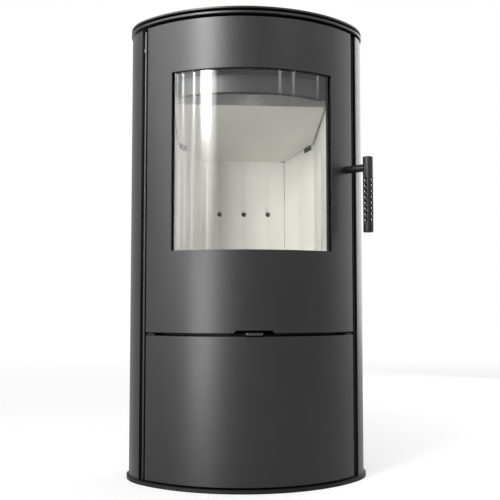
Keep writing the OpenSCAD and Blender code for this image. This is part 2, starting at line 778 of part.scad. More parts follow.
// Catch on the right rail that the latch tongue turns behind
keep_u0 = -7.6;
keep_u1 = -11.6;
keep_h = 30;
module latch_keep() color(dark_steel) translate([0, 0, arm_z - keep_h / 2])
    linear_extrude(keep_h)
        polygon([by_arm(keep_u0, 12), by_arm(keep_u1, 12), by_arm(keep_u1, 24),
            [by_arm(keep_u1, 24).x, -rail_y0 + 18], [rail_x, -rail_y0 + 18],
            [rail_x, -rail_y0 + 0.5], by_arm(keep_u0, 24)]);

module lever_pivot() color(raw_steel) translate([0, lever_y, ceiling_z]) {
    cylinder(r = hinge_r, h = airbox_z + plate_t - ceiling_z);
    translate([0, 0, airbox_z + plate_t - ceiling_z]) cylinder(r = hinge_r + 3, h = 3);
}

// Magnet block on the liner's right wall, behind the storage door's free edge
magnet_a = door_a - arc_len_a(31.4);
magnet_in = 9;
magnet_z = store_z1 - 34;
module storage_magnet() color(dark_steel) {
    p = on_front(magnet_a, magnet_in);
    translate([p.x, p.y, magnet_z]) rotate(magnet_a) translate([-9, 0, 0])
        cube([18, 13, 22]);
    // Foot from the magnet to the liner's wall
    translate([p.x - 8, p.y + 6, magnet_z - 3]) cube([liner_x - p.x + 8, 24, 3]);
}

// Firebox door ----------------------------------------------------------------------

cut_half0 = 39;
cut_half1 = 34;
cut_h = 5.4;
module door_skin() color(steel) difference() {
    front_sheet(0, skin_t, -door_a, door_a, door_z0, door_z1);
    front_block(-5, -window_a, window_a, window_z0, window_z1);
    // Finger cut-out for the air lever
    translate([0, 0, door_z0]) rotate([90, 0, 0]) linear_extrude(front_y + 10)
        polygon([[-cut_half0 - 2, -2], [cut_half0 + 2, -2], [cut_half1, cut_h],
            [-cut_half1, cut_h]]);
    translate([on_front(arm_a, 0).x, on_front(arm_a, 0).y, arm_z]) rotate(arm_a)
        rotate([90, 0, 0]) cylinder(r = bush_r, h = 40, center = true);
}

module glass_gasket() color(rope)
    front_ring(skin_t + seal_gap, glass_in - seal_gap, glass_a, glass_z0, glass_z1,
        window_a + 0.8, window_z0 - 4, window_z1 + 4);
module door_glass() color([0.75, 0.8, 0.8, 0.35])
    front_sheet(glass_in, glass_in + glass_t, -glass_a, glass_a, glass_z0, glass_z1);

// Inner frame: holds the glass, and its two ribs make the gasket channel
frame_open_a = window_a + 1;
module door_inner_frame() color(dark_steel) union() {
    front_ring(frame_in, frame_in + frame_t, inner_a, rope_z0 - ring_t, rope_z1 + ring_t,
        frame_open_a, window_z0 - 4, window_z1 - 3);
    front_ring(frame_in + frame_t - eps, frame_in + frame_t + rib_d, inner_a,
        rope_z0 - ring_t, rope_z1 + ring_t, rope_a1, rope_z0, rope_z1);
    front_ring(frame_in + frame_t - eps, frame_in + frame_t + rib_d, rope_a0,
        rope_z0 + rope_w, rope_z1 - rope_w, rope_a0 - arc_len_a(ring_t),
        rope_z0 + rope_w + ring_t, rope_z1 - rope_w - ring_t);
}
seal_side = arc_len_a(0.4);
module door_gasket() color(rope)
    front_ring(rope_in, rope_in + rope_d, rope_a1 - seal_side, rope_z0 + 0.4, rope_z1 - 0.4,
        rope_a0 + seal_side, rope_z0 + rope_w - 0.4, rope_z1 - rope_w + 0.4);

// Spacer bolts between the skin and the inner frame, round the glass
bolt_r = 2.4;
bolt_a = glass_a + arc_len_a(5);
bolt_z = [rope_z0 + 4, (rope_z0 + rope_z1) / 2, rope_z1 - 4];
module frame_bolts() color(raw_steel)
    for (a = [-bolt_a, 0, bolt_a], z = bolt_z) if (a != 0 || z != bolt_z[1])
        let (p = on_front(a, 0)) intersection() {
            translate([p.x, p.y, z]) rotate(a) rotate([-90, 0, 0])
                cylinder(r = bolt_r, h = frame_in + 3);
            front_sheet(skin_t, frame_in, a - 2, a + 2, z - 5, z + 5);
        }

// Hinge lug plan: an eye round the pin and a web out to the skin
module lug_plan() difference() {
    intersection() {
        translate([0, front_cy]) difference() {
            circle(front_r - skin_t);
            circle(front_r - front_in + 2);
        }
        translate([0, front_cy]) wedge(front_r, -door_a + 0.2, 0);
        union() {
            translate(hinge) circle(lug_r);
            intersection() {
                translate(hinge) circle(24);
                translate(hinge + [-30, -40]) square([60, 40]);
            }
        }
    }
    translate(hinge) circle(hinge_r + pin_gap);
}
module door_lugs() color(dark_steel)
    for (z = [door_z0 + 2, bracket_z - lug_t - 1])
        translate([0, 0, z]) linear_extrude(lug_t) lug_plan();

// Folded angle across the skin's inside, below the window
module door_stiffener() color(dark_steel) union() {
    a = door_a - arc_len_a(36.3);
    z = door_z0 + 33.3;
    front_sheet(skin_t, skin_t + plate_t, -a, a, z, z + 22);
    front_sheet(skin_t + plate_t - eps, skin_t + 12, -a, a, z, z + plate_t);
}

bush_r = 6.5;
flange_u = 1.5;
module at_arm() translate([on_front(arm_a, 0).x, on_front(arm_a, 0).y, arm_z])
    rotate(arm_a) rotate([90, 0, 0]) children();
module latch_bush() color(raw_steel) at_arm() difference() {
    union() {
        translate([0, 0, -11]) cylinder(r = bush_r, h = 11 + flange_u);
        translate([0, 0, 0.2]) cylinder(r = sleeve_r - 0.3, h = flange_u - 0.2);
    }
    translate([0, 0, -12]) cylinder(r = arm_r + pin_gap, h = 20);
}

// Handle: arm through the bush, perforated grip tube, latch tongue ------------------

tongue_u = 12;
tongue_t = 5;
tongue_len = 22;
nut_h = 3;
module handle_arm() color(dark_steel) at_arm() difference() {
    back = tongue_u + tongue_t + nut_h;
    union() {
        // Pin with its nut, and the thick part outside the bush
        translate([0, 0, -back]) cylinder(r = arm_r, h = back + 10);
        translate([0, 0, -back]) cylinder(r = arm_r + 2.5, h = nut_h);
        translate([0, 0, flange_u + run_gap])
            cylinder(r = sleeve_r, h = standoff - flange_u - run_gap);
    }
    // Saddle round the grip
    translate([0, 0, standoff]) rotate([90, 0, 0])
        cylinder(r = grip_r, h = 4 * grip_r, center = true);
}

hole_cols = 2;
hole_top = 24.6;
tip_r = 1;
module handle_grip() color(dark_steel) at_arm() translate([0, 0, standoff])
    rotate([90, 0, 0]) {
        difference() {
            translate([0, 0, -grip_up]) union() {
                cylinder(r1 = grip_r - tip_r, r2 = grip_r, h = tip_r);
                translate([0, 0, tip_r]) cylinder(r = grip_r, h = grip_len - 2 * tip_r);
                translate([0, 0, grip_len - tip_r])
                    cylinder(r1 = grip_r, r2 = grip_r - tip_r, h = tip_r);
            }
            translate([0, 0, -grip_up + 3]) cylinder(r = grip_r - grip_wall, h = grip_len - 6);
            for (row = [0:hole_rows - 1], col = [0:hole_cols - 1])
                translate([0, 0, hole_top + row * hole_pitch]) rotate(col * 180 / hole_cols)
                    rotate([90, 0, 0]) cylinder(r = hole_r, h = 3 * grip_r, center = true);
        }
    }

module latch_tongue() color(dark_steel) at_arm() translate([0, 0, -tongue_u - tongue_t])
    difference() {
        linear_extrude(tongue_t) union() {
            circle(9);
            translate([-5, -tongue_len + 5]) square([10, tongue_len - 5]);
            translate([0, -tongue_len + 5]) circle(5);
        }
        translate([0, 0, -1]) cylinder(r = arm_r, h = tongue_t + 2);
    }

// Storage door ----------------------------------------------------------------------

module storage_door_skin() color(steel)
    front_sheet(0, skin_t, -door_a, door_a, store_z0, store_z1);
module storage_door_lugs() color(dark_steel)
    for (z = [store_z0 + 2, store_z1 - lug_t - 2])
        translate([0, 0, z]) linear_extrude(lug_t) lug_plan();
module storage_stiffener() color(dark_steel)
    for (z = [store_z0 + 20, store_z1 - 110.4]) {
        a = door_a - arc_len_a(41.2);
        front_sheet(skin_t, skin_t + plate_t, -a, a, z, z + 20);
        front_sheet(skin_t + plate_t - eps, skin_t + 10, -a, a, z, z + plate_t);
    }
module storage_strike() color(raw_steel)
    front_sheet(skin_t, magnet_in - 0.5, magnet_a - 2, magnet_a + 2,
        magnet_z + 1, magnet_z + 21);

// Air lever: one flat blade with a ported disc, and the knob in the finger cut-out ---

lever_w = 22;
knob_out = 10;
knob_lip = 4.3;
blade = front_y + lever_y + knob_lip - knob_out;
module air_lever() color(raw_steel) translate([0, lever_y, lever_z]) difference() {
    union() {
        cylinder(r = disc_r, h = lever_t);
        translate([-lever_w / 2, -blade, 0]) cube([lever_w, blade, lever_t]);
    }
    translate([0, 0, -1]) cylinder(r = hinge_r + pin_gap, h = lever_t + 2);
    ports(-1, lever_t + 2);
}
knob_h = 5;
module air_knob() color(raw_steel)
    translate([0, -front_y - knob_lip + knob_out, lever_z + lever_t - knob_h])
    linear_extrude(knob_h) union() {
        translate([-knob_w / 2 + 3, -knob_out]) square([knob_w - 6, knob_out]);
        translate([-knob_w / 2, -knob_out + 3]) square([knob_w, knob_out - 3]);
        for (s = [1, -1]) translate([s * (knob_w / 2 - 3), -knob_out + 3]) circle(3);
    }

// Ash pan ---------------------------------------------------------------------------

pan_t = 1.5;
module ash_pan() color(dark_steel) difference() {
    translate([-pan_x, pan_y0, pan_z0]) cube([2 * pan_x, pan_y1 - pan_y0, pan_h]);
    translate([-pan_x + pan_t, pan_y0 + pan_t, pan_z0 + pan_t])
        cube([2 * (pan_x - pan_t), pan_y1 - pan_y0 - 2 * pan_t, pan_h]);
}
// Bent strap on the pan's front
strap_w = 10;
strap_t = 2.5;
module pan_handle() color(raw_steel)
    translate([0, pan_y0, pan_z0 + pan_h / 2 - strap_w / 2]) linear_extrude(strap_w)
        difference() {
            translate([-38, -16]) square([76, 16]);
            translate([-38 + strap_t, -16 + strap_t]) square([76 - 2 * strap_t, 16]);
        }

// Nodes -----------------------------------------------------------------------------

base_plate();
air_inlet_tube();
side_panel_left();
side_panel_right();
rear_panel();
panel_screws();
frame_rail_left();
frame_rail_right();
deck_plate();
top_plate();
top_spacers();
deck_posts();
flue_spigot();
firebox_shell();
firebox_floor();
firebox_top();
firebox_front();
air_wash_plate();
back_brick();
corner_brick_left();
corner_brick_right();
side_brick_left();
side_brick_right();
floor_bricks();
baffle();
baffle_brackets();
smoke_deflector();
grate();
ash_chute();
air_box();
jet_channel();
rear_heat_shield();
storage_liner();
storage_ceiling();
pan_runners();
hinge_pins();
latch_keep();
lever_pivot();
storage_magnet();
door_skin();
door_inner_frame();
door_gasket();
door_glass();
glass_gasket();
frame_bolts();
door_lugs();
door_stiffener();
latch_bush();
handle_arm();
handle_grip();
latch_tongue();
storage_door_skin();
storage_door_lugs();
storage_stiffener();
storage_strike();
air_lever();
air_knob();
ash_pan();
pan_handle();
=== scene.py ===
"""Looks of the oval wood stove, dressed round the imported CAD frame. Metres, +Z up, doors to -Y."""

import math

import bmesh
import bpy
from mathutils import Euler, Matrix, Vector


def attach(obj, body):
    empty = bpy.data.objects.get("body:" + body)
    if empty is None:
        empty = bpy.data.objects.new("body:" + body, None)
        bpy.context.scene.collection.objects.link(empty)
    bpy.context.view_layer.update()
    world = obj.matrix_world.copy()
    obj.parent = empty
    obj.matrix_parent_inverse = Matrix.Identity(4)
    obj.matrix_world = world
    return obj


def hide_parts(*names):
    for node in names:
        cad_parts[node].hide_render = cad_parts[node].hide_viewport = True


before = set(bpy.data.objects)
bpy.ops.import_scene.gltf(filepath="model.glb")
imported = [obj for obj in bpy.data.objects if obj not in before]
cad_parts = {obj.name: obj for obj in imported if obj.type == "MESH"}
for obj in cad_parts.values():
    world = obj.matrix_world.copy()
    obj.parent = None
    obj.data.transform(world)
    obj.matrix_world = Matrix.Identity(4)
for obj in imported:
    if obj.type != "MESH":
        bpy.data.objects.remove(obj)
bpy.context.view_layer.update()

# --- Camera -----------------------------------------------------------------------------
# Where the photo was taken from: low, in front and a little to the left, looking slightly
# up. The place and the lens come from the fit of the stove's edges in the photo.
CAMERA_PLACE = (-0.1354, -1.7123, 0.3506)
CAMERA_PITCH = 0.06687
CAMERA_HEADING = 0.08262
CAMERA_LENS_MM = 58.744
CAMERA_SENSOR_MM = 36.0
camera_data = bpy.data.cameras.new("photo_camera")
camera_data.lens = CAMERA_LENS_MM
camera_data.sensor_width = CAMERA_SENSOR_MM
camera_data.clip_start = 0.05
camera = bpy.data.objects.new("photo_camera", camera_data)
bpy.context.scene.collection.objects.link(camera)
camera.location = CAMERA_PLACE
camera.rotation_euler = Euler((math.pi / 2 + CAMERA_PITCH, 0.0, -CAMERA_HEADING))
bpy.context.scene.camera = camera
bpy.context.scene.view_settings.view_transform = "Standard"

# --- Studio -----------------------------------------------------------------------------
# A pale floor, a white room and upright soft lamps, the main ones at the front left. Many
# of them show only in gloss: they make the long highlight down the bowed doors and the
# streaks in the window, and the room and the others light the stove at a plain level.


def new_material(name):
    """A node material, and its node tree emptied but for the output."""
    material = bpy.data.materials.new(name)
    material.use_nodes = True
    tree = material.node_tree
    for node in list(tree.nodes):
        if node.type != "OUTPUT_MATERIAL":
            tree.nodes.remove(node)
    output = next(n for n in tree.nodes if n.type == "OUTPUT_MATERIAL")
    return material, tree, output


def add_node(tree, kind, **settings):
    """Adds a node; settings are its properties, or inputs where the key names one."""
    node = tree.nodes.new(kind)
    for key, value in settings.items():
        if hasattr(node, key):
            setattr(node, key, value)
        else:
            node.inputs[key.replace("_", " ")].default_value = value
    return node


def seen_by_eye(tree):
    """1 for camera, mirror and glass rays, 0 for the rays that light the stove."""
    path = add_node(tree, "ShaderNodeLightPath")
    seen = path.outputs["Is Camera Ray"]
    for kind in ("Is Glossy Ray", "Is Transmission Ray"):
        either = add_node(tree, "ShaderNodeMath", operation="MAXIMUM")
        tree.links.new(seen, either.inputs[0])
        tree.links.new(path.outputs[kind], either.inputs[1])
        seen = either.outputs[0]
    return seen


FLOOR_RADIUS = 14.0
FLOOR_GREY = 0.60
GLOW_NEAR, GLOW_FAR = 0.48, 0.74
GLOW_STARTS, GLOW_ENDS = 1.5, 4.5


def build_floor():
    """A round floor disc: white to the eye, with the stove's shadow left on it."""
    mesh = bpy.data.meshes.new("studio_floor")
    shape = bmesh.new()
    bmesh.ops.create_circle(shape, cap_ends=True, radius=FLOOR_RADIUS, segments=64)
    shape.to_mesh(mesh)
    shape.free()
    floor = bpy.data.objects.new("studio_floor", mesh)
    bpy.context.scene.collection.objects.link(floor)
    material, tree, output = new_material("studio_floor")
    paper = add_node(tree, "ShaderNodeBsdfDiffuse",
                     Color=(FLOOR_GREY, FLOOR_GREY, FLOOR_GREY, 1.0))
    glow = add_node(tree, "ShaderNodeEmission", Color=(1.0, 1.0, 1.0, 1.0))
    place = add_node(tree, "ShaderNodeTexCoord")
    reach = add_node(tree, "ShaderNodeVectorMath", operation="LENGTH")
    rise = add_node(tree, "ShaderNodeMapRange", From_Min=GLOW_STARTS, From_Max=GLOW_ENDS,
                    To_Min=GLOW_NEAR, To_Max=GLOW_FAR)
    tree.links.new(place.outputs["Object"], reach.inputs[0])
    tree.links.new(reach.outputs["Value"], rise.inputs["Value"])
    tree.links.new(rise.outputs[0], glow.inputs["Strength"])
    both = add_node(tree, "ShaderNodeAddShader")
    mix = add_node(tree, "ShaderNodeMixShader")
    tree.links.new(paper.outputs[0], both.inputs[0])
    tree.links.new(glow.outputs[0], both.inputs[1])
    tree.links.new(seen_by_eye(tree), mix.inputs[0])
    tree.links.new(paper.outputs[0], mix.inputs[1])
    tree.links.new(both.outputs[0], mix.inputs[2])
    tree.links.new(mix.outputs[0], output.inputs[0])
    mesh.materials.append(material)


build_floor()

ROOM_LIGHT = 0.5
ROOM_SEEN = 1.0
world = bpy.data.worlds.new("studio_room")
bpy.context.scene.world = world
world.use_nodes = True
room = world.node_tree
room.nodes.clear()
room_out = room.nodes.new("ShaderNodeOutputWorld")
room_dim = add_node(room, "ShaderNodeBackground", Color=(1.0, 1.0, 1.0, 1.0),
                    Strength=ROOM_LIGHT)
room_white = add_node(room, "ShaderNodeBackground", Color=(1.0, 1.0, 1.0, 1.0),
                      Strength=ROOM_SEEN)
room_mix = room.nodes.new("ShaderNodeMixShader")
room.links.new(seen_by_eye(room), room_mix.inputs[0])
room.links.new(room_dim.outputs[0], room_mix.inputs[1])
room.links.new(room_white.outputs[0], room_mix.inputs[2])
room.links.new(room_mix.outputs[0], room_out.inputs[0])


def soft_edge(tree, along, share):
    """1 in the middle of a lamp, falling to 0 over a share of it at each end."""
    middle = add_node(tree, "ShaderNodeMath", operation="SUBTRACT")
    middle.inputs[1].default_value = 0.5
    off = add_node(tree, "ShaderNodeMath", operation="ABSOLUTE")
    fall = add_node(tree, "ShaderNodeMapRange", interpolation_type="SMOOTHSTEP",
                    From_Min=0.5 - share, From_Max=0.5, To_Min=1.0, To_Max=0.0)
    tree.links.new(along, middle.inputs[0])
    tree.links.new(middle.outputs[0], off.inputs[0])
    tree.links.new(off.outputs[0], fall.inputs["Value"])
    return fall.outputs[0]


def soft_lamp(name, azimuth, distance, height, width, tall, radiance, mirrored_only=False,
              side_fade=0.15, end_fade=0.15):
    """An upright lamp at an azimuth from the front (degrees, + to the right)."""
    data = bpy.data.lights.new(name, "AREA")
    data.shape = "RECTANGLE"
    data.size = width
    data.size_y = tall
    data.energy = radiance * math.pi * width * tall
    lamp = bpy.data.objects.new(name, data)
    bpy.context.scene.collection.objects.link(lamp)
    angle = math.radians(azimuth)
    lamp.location = (distance * math.sin(angle), -distance * math.cos(angle), height)
    lamp.rotation_euler = Euler((math.pi / 2, 0.0, angle))
    lamp.visible_diffuse = not mirrored_only
    data.use_nodes = True
    tree = data.node_tree
    face = tree.nodes.new("ShaderNodeNewGeometry")
    across = tree.nodes.new("ShaderNodeSeparateXYZ")
    both = add_node(tree, "ShaderNodeMath", operation="MULTIPLY")
    tree.links.new(face.outputs["Parametric"], across.inputs[0])
    tree.links.new(soft_edge(tree, across.outputs["X"], side_fade), both.inputs[0])
    tree.links.new(soft_edge(tree, across.outputs["Y"], end_fade), both.inputs[1])
    shade = next(n for n in tree.nodes if n.type == "EMISSION")
    tree.links.new(both.outputs[0], shade.inputs["Strength"])
    return lamp


# Lights the front of the stove; its place in the gloss is taken by the four after it.
lamp_key = soft_lamp("lamp_key", azimuth=-36.0, distance=2.6, height=1.75, width=0.90,
                     tall=1.6, radiance=17.5)
lamp_key.visible_glossy = False

# The long highlight: its core, its soft shoulders, its lower end and the haze to its left.
soft_lamp("lamp_key_shine", azimuth=-37.0, distance=2.6, height=2.25, width=0.52, tall=2.3,
          radiance=52.0, mirrored_only=True, side_fade=0.30, end_fade=0.16)
soft_lamp("lamp_key_skirt", azimuth=-35.0, distance=2.6, height=1.80, width=0.80, tall=2.5,
          radiance=9.0, mirrored_only=True, side_fade=0.25, end_fade=0.48)
soft_lamp("lamp_key_foot", azimuth=-38.0, distance=2.6, height=0.28, width=0.70, tall=0.60,
          radiance=38.0, mirrored_only=True)
soft_lamp("lamp_veil", azimuth=-54.0, distance=2.6, height=1.15, width=2.30, tall=1.7,
          radiance=3.2, mirrored_only=True, side_fade=0.06, end_fade=0.45)

# The sheen on the left side sheet, all the way down.
soft_lamp("lamp_left", azimuth=-86.0, distance=2.6, height=2.1, width=0.90, tall=2.2,
          radiance=5.0, mirrored_only=True)
soft_lamp("lamp_left_foot", azimuth=-78.0, distance=2.6, height=0.45, width=1.60, tall=0.9,
          radiance=1.5, mirrored_only=True)

# Upright streaks in the window: strong ones high on the left, faint ones below them, and
# thin ones high on the right.
for number, (azimuth, width, radiance) in enumerate((
        (-71.5, 0.08, 24.0), (-65.0, 0.16, 11.0), (-58.5, 0.10, 22.0), (-48.0, 0.11, 26.0))):
    soft_lamp("lamp_strip_%d" % number, azimuth, distance=2.5, height=2.1, width=width,
              tall=2.4, radiance=radiance, mirrored_only=True, side_fade=0.30, end_fade=0.35)
for number, (azimuth, width) in enumerate((
        (-68.5, 0.10), (-62.0, 0.12), (-56.5, 0.08), (-49.5, 0.10), (-35.5, 0.12))):
    soft_lamp("lamp_streak_%d" % number, azimuth, distance=2.5, height=0.85, width=width,
              tall=1.1, radiance=3.6, mirrored_only=True, side_fade=0.30, end_fade=0.40)
for number, (azimuth, width, radiance) in enumerate((
        (27.5, 0.16, 10.0), (40.0, 0.14, 10.0), (64.0, 0.08, 16.0))):
    soft_lamp("lamp_thin_%d" % number, azimuth, distance=2.5, height=2.2, width=width,
              tall=1.9, radiance=radiance, mirrored_only=True, side_fade=0.30, end_fade=0.30)

# The pale edge of the right side sheet, and light on the top from above the front.
soft_lamp("lamp_right", azimuth=95.0, distance=2.4, height=1.5, width=1.4, tall=3.0,
          radiance=1.2, mirrored_only=True)
soft_lamp("lamp_rim", azimuth=130.0, distance=2.4, height=1.4, width=1.6, tall=2.8,
          radiance=3.0)
LAMP_HIGH_TILT = 45.0
lamp_high = soft_lamp("lamp_high", azimuth=-6.0, distance=1.9, height=2.5, width=1.5, tall=1.0,
                      radiance=4.0)
lamp_high.rotation_euler.x -= math.radians(LAMP_HIGH_TILT)
lamp_high.visible_glossy = False

# --- Painted casing ---------------------------------------------------------------------
# The oval floor plate, the bent side sheets, the rear sheet, the rails and the two plates
# on top. All are mild steel sheet or plate, cut, bent and sprayed with a satin charcoal
# heat-resistant paint. Each is a copy of its CAD node with the sharp edges broken.


def mottled(tree, scale, detail=4.0):
    """Noise in the piece's own place, for paint, board and castings."""
    place = add_node(tree, "ShaderNodeTexCoord")
    noise = add_node(tree, "ShaderNodeTexNoise", Scale=scale, Detail=detail, Roughness=0.6)
    tree.links.new(place.outputs["Object"], noise.inputs["Vector"])
    return noise.outputs["Fac"]


def ramp(tree, source, low, high, start=0.35, end=0.65):
    """Colour from low to high as source rises from start to end."""
    node = add_node(tree, "ShaderNodeValToRGB")
    node.color_ramp.elements[0].position = start
    node.color_ramp.elements[1].position = end
    node.color_ramp.elements[0].color = (*low, 1.0)
    node.color_ramp.elements[1].color = (*high, 1.0)
    tree.links.new(source, node.inputs[0])
    return node.outputs[0]


def level(tree, source, low, high):
    """A number from low to high as source goes from 0.3 to 0.7."""
    node = add_node(tree, "ShaderNodeMapRange", From_Min=0.3, From_Max=0.7, To_Min=low,
                    To_Max=high)
    tree.links.new(source, node.inputs["Value"])
    return node.outputs[0]


def bumps(tree, source, depth, strength=0.25):
    """Bump of a depth in metres from a 0 to 1 source."""
    node = add_node(tree, "ShaderNodeBump", Strength=strength, Distance=depth)
    tree.links.new(source, node.inputs["Height"])
    return node.outputs[0]


TONE_PATCHES = 14.0
GLOSS_PATCHES = 60.0


def paint(name, dark, light, rough, grain, depth, sheen_level=0.5):
    """Sprayed paint: two near tones, a fine orange-peel grain, patchy gloss."""
    material, tree, output = new_material(name)
    shader = add_node(tree, "ShaderNodeBsdfPrincipled")
    shader.inputs["Specular IOR Level"].default_value = sheen_level
    tone = ramp(tree, mottled(tree, TONE_PATCHES), dark, light)
    gloss = level(tree, mottled(tree, GLOSS_PATCHES), *rough)
    peel = bumps(tree, mottled(tree, grain, detail=2.0), depth)
    tree.links.new(tone, shader.inputs["Base Color"])
    tree.links.new(gloss, shader.inputs["Roughness"])
    tree.links.new(peel, shader.inputs["Normal"])
    tree.links.new(shader.outputs[0], output.inputs[0])
    return material


casing_paint = paint("casing_paint", (0.0045, 0.0045, 0.0047), (0.0065, 0.0065, 0.0068),
                     rough=(0.38, 0.42), grain=1600.0, depth=0.00010, sheen_level=0.37)
# A glossier copy of the casing paint for the left rail: a painted sheen, so that the rail's edge
# shows brighter in the gap beside the door.
rail_painted_sheen = paint("rail_painted_sheen", (0.0045, 0.0045, 0.0047), (0.0065, 0.0065, 0.0068),
                   rough=(0.32, 0.36), grain=1600.0, depth=0.00006, sheen_level=0.62)
inner_paint = paint("inner_paint", (0.004, 0.004, 0.0041), (0.007, 0.007, 0.007),
                    rough=(0.50, 0.62), grain=1100.0, depth=0.00015, sheen_level=0.18)

# The arcs of the oval, as the CAD has them: the bowed front and back, and the round ends.
FRONT_RADIUS = 0.281
FRONT_CENTRE_Y = 0.10336
SIDE_CENTRE_X = 0.1195
MOST_LEAN = 0.01
SAME_REACH = 0.00015
SQUARE_ON = 0.995


def true_bows(mesh):
    """Gives faces on the stove's upright arcs the normals of a true arc."""
    normals = [corner.vector.copy() for corner in mesh.corner_normals]
    centres = [Vector(c) for c in ((0.0, FRONT_CENTRE_Y), (0.0, -FRONT_CENTRE_Y),
                                   (SIDE_CENTRE_X, 0.0), (-SIDE_CENTRE_X, 0.0))]
    for face in mesh.polygons:
        if abs(face.normal.z) > MOST_LEAN:
            continue
        places = [mesh.vertices[v].co.xy for v in face.vertices]
        for centre in centres:
            reach = [(place - centre).length for place in places]
            side = (face.center.xy - centre).normalized().dot(face.normal.xy)
            if max(reach) - min(reach) < SAME_REACH and abs(side) > SQUARE_ON:
                for loop in face.loop_indices:
                    spot = mesh.vertices[mesh.loops[loop].vertex_index].co.xy
                    out = (spot - centre).normalized() * math.copysign(1.0, side)
                    normals[loop] = Vector((out.x, out.y, 0.0))
    mesh.normals_split_custom_set(normals)


MERGE_GAP = 2e-6
SHORTEST_EDGE = 1e-6
FLAT_ENOUGH = math.radians(0.4)
SHARP_EDGE = math.radians(30.0)


def broken_edges(name, node, body, material, width, segments=2):
    """A merged copy of a CAD node with its edges bevelled, standing for the node."""
    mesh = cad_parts[node].data.copy()
    mesh.name = name
    mesh.materials.clear()
    shape = bmesh.new()
    shape.from_mesh(mesh)
    bmesh.ops.remove_doubles(shape, verts=shape.verts, dist=MERGE_GAP)
    bmesh.ops.dissolve_degenerate(shape, edges=shape.edges, dist=SHORTEST_EDGE)
    bmesh.ops.dissolve_limit(shape, angle_limit=FLAT_ENOUGH, verts=shape.verts,
                             edges=shape.edges)
    for face in shape.faces:
        face.smooth = True
    shape.to_mesh(mesh)
    shape.free()
    mesh.materials.append(material)
    piece = bpy.data.objects.new(name, mesh)
    bpy.context.scene.collection.objects.link(piece)
    bevel = piece.modifiers.new("broken_edges", "BEVEL")
    bevel.width = width
    bevel.segments = segments
    bevel.limit_method = "ANGLE"
    bevel.angle_limit = SHARP_EDGE
    bevel.miter_outer = "MITER_ARC"
    bevel.harden_normals = True
    graph = bpy.context.evaluated_depsgraph_get()
    rounded = bpy.data.meshes.new_from_object(piece.evaluated_get(graph), depsgraph=graph)
    piece.modifiers.clear()
    piece.data = rounded
    rounded.name = name
    true_bows(rounded)
    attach(piece, body)
    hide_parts(node)
    return piece


def dress(material, *nodes):
    """Gives CAD nodes a finish in their own material slots."""
    for node in nodes:
        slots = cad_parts[node].material_slots
        if not slots:
            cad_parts[node].data.materials.append(material)
        for place in slots:
            place.material = material


# The floor plate takes the matt inner paint, darker than the casing: painted shade at the foot.
broken_edges("base_plate_painted", "base_plate", "stove", inner_paint, 0.0010)
for plate, width in (("deck_plate", 0.0007), ("top_plate", 0.0009)):
    broken_edges(plate + "_painted", plate, "stove", casing_paint, width)
for sheet in ("side_panel_left", "side_panel_right", "rear_panel"):
    broken_edges(sheet + "_painted", sheet, "stove", casing_paint, 0.0004)
# The left rail takes the glossy painted sheen; the right rail takes the matt inner paint, a painted
# shade on that side.
for rail, coat in (("frame_rail_left", rail_painted_sheen), ("frame_rail_right", inner_paint)):
    broken_edges(rail + "_painted", rail, "stove", coat, 0.0009, segments=3)
dress(inner_paint, "top_spacers", "deck_posts")

# --- Rear sheet's screws ----------------------------------------------------------------
# Eight zinc-plated round-head screws with a hexagon socket, through the lap of the rear
# and side sheets, turned in from behind. The other zinc-plated pieces are dressed here too.


def plated(name, tone, rough, grain=900.0, depth=0.00006, stretch=(1.0, 1.0, 1.0)):
    """Bare or plated metal: bright, finely marked."""
    material, tree, output = new_material(name)
    shader = add_node(tree, "ShaderNodeBsdfPrincipled", Metallic=1.0)
    low = tuple(c * 0.86 for c in tone)
    tree.links.new(ramp(tree, mottled(tree, 40.0), low, tone), shader.inputs["Base Color"])
    place = add_node(tree, "ShaderNodeTexCoord")
    turn = add_node(tree, "ShaderNodeMapping")
    turn.inputs["Scale"].default_value = stretch
    noise = add_node(tree, "ShaderNodeTexNoise", Scale=grain, Detail=3.0)
    tree.links.new(place.outputs["Object"], turn.inputs["Vector"])
    tree.links.new(turn.outputs[0], noise.inputs["Vector"])
    tree.links.new(level(tree, noise.outputs["Fac"], *rough), shader.inputs["Roughness"])
    tree.links.new(bumps(tree, noise.outputs["Fac"], depth), shader.inputs["Normal"])
    tree.links.new(shader.outputs[0], output.inputs[0])
    return material


zinc = plated("zinc_plate", (0.62, 0.62, 0.64), rough=(0.28, 0.42))

SOCKET_SIDES = 6
SOCKET_TOP, SOCKET_FLOOR = 1.0, 0.35
HEAD_RINGS = ((0.98, 0.0), (1.0, 0.12), (0.97, 0.55), (0.84, 0.86), (0.62, 1.0))


def screw_head(name, radius, height, socket):
    """A round screw head on its seat at z = 0, with a hexagon socket. Not shown itself.

    HEAD_RINGS gives the dome from the seat up, as shares of the radius and of the height.
    """
    sides = 24
    shape = bmesh.new()
    loops = []
    for share, rise in HEAD_RINGS:
        loops.append([shape.verts.new((radius * share * math.cos(math.tau * k / sides),
                                       radius * share * math.sin(math.tau * k / sides),
                                       height * rise)) for k in range(sides)])
    for rise in (SOCKET_TOP, SOCKET_FLOOR):
        loop = []
        for k in range(sides):
            angle = math.tau * k / sides
            facet = math.tau / SOCKET_SIDES
            flat = socket / math.cos((angle + facet / 2) % facet - facet / 2)
            loop.append(shape.verts.new((flat * math.cos(angle), flat * math.sin(angle),
                                         height * rise)))
        loops.append(loop)
    for low, high in zip(loops, loops[1:]):
        for k in range(sides):
            shape.faces.new((low[k], low[(k + 1) % sides], high[(k + 1) % sides], high[k]))
    shape.faces.new(list(reversed(loops[0])))
    shape.faces.new(loops[-1])
    mesh = bpy.data.meshes.new(name)
    shape.to_mesh(mesh)
    shape.free()
    return bpy.data.objects.new(name, mesh)


def group_input(tree, label, kind):
    """A named input of a geometry node tree."""
    tree.interface.new_socket(label, in_out="INPUT", socket_type=kind)


def join(tree, *pairs):
    """Links pairs of sockets."""
    for source, target in pairs:
        tree.links.new(source, target)


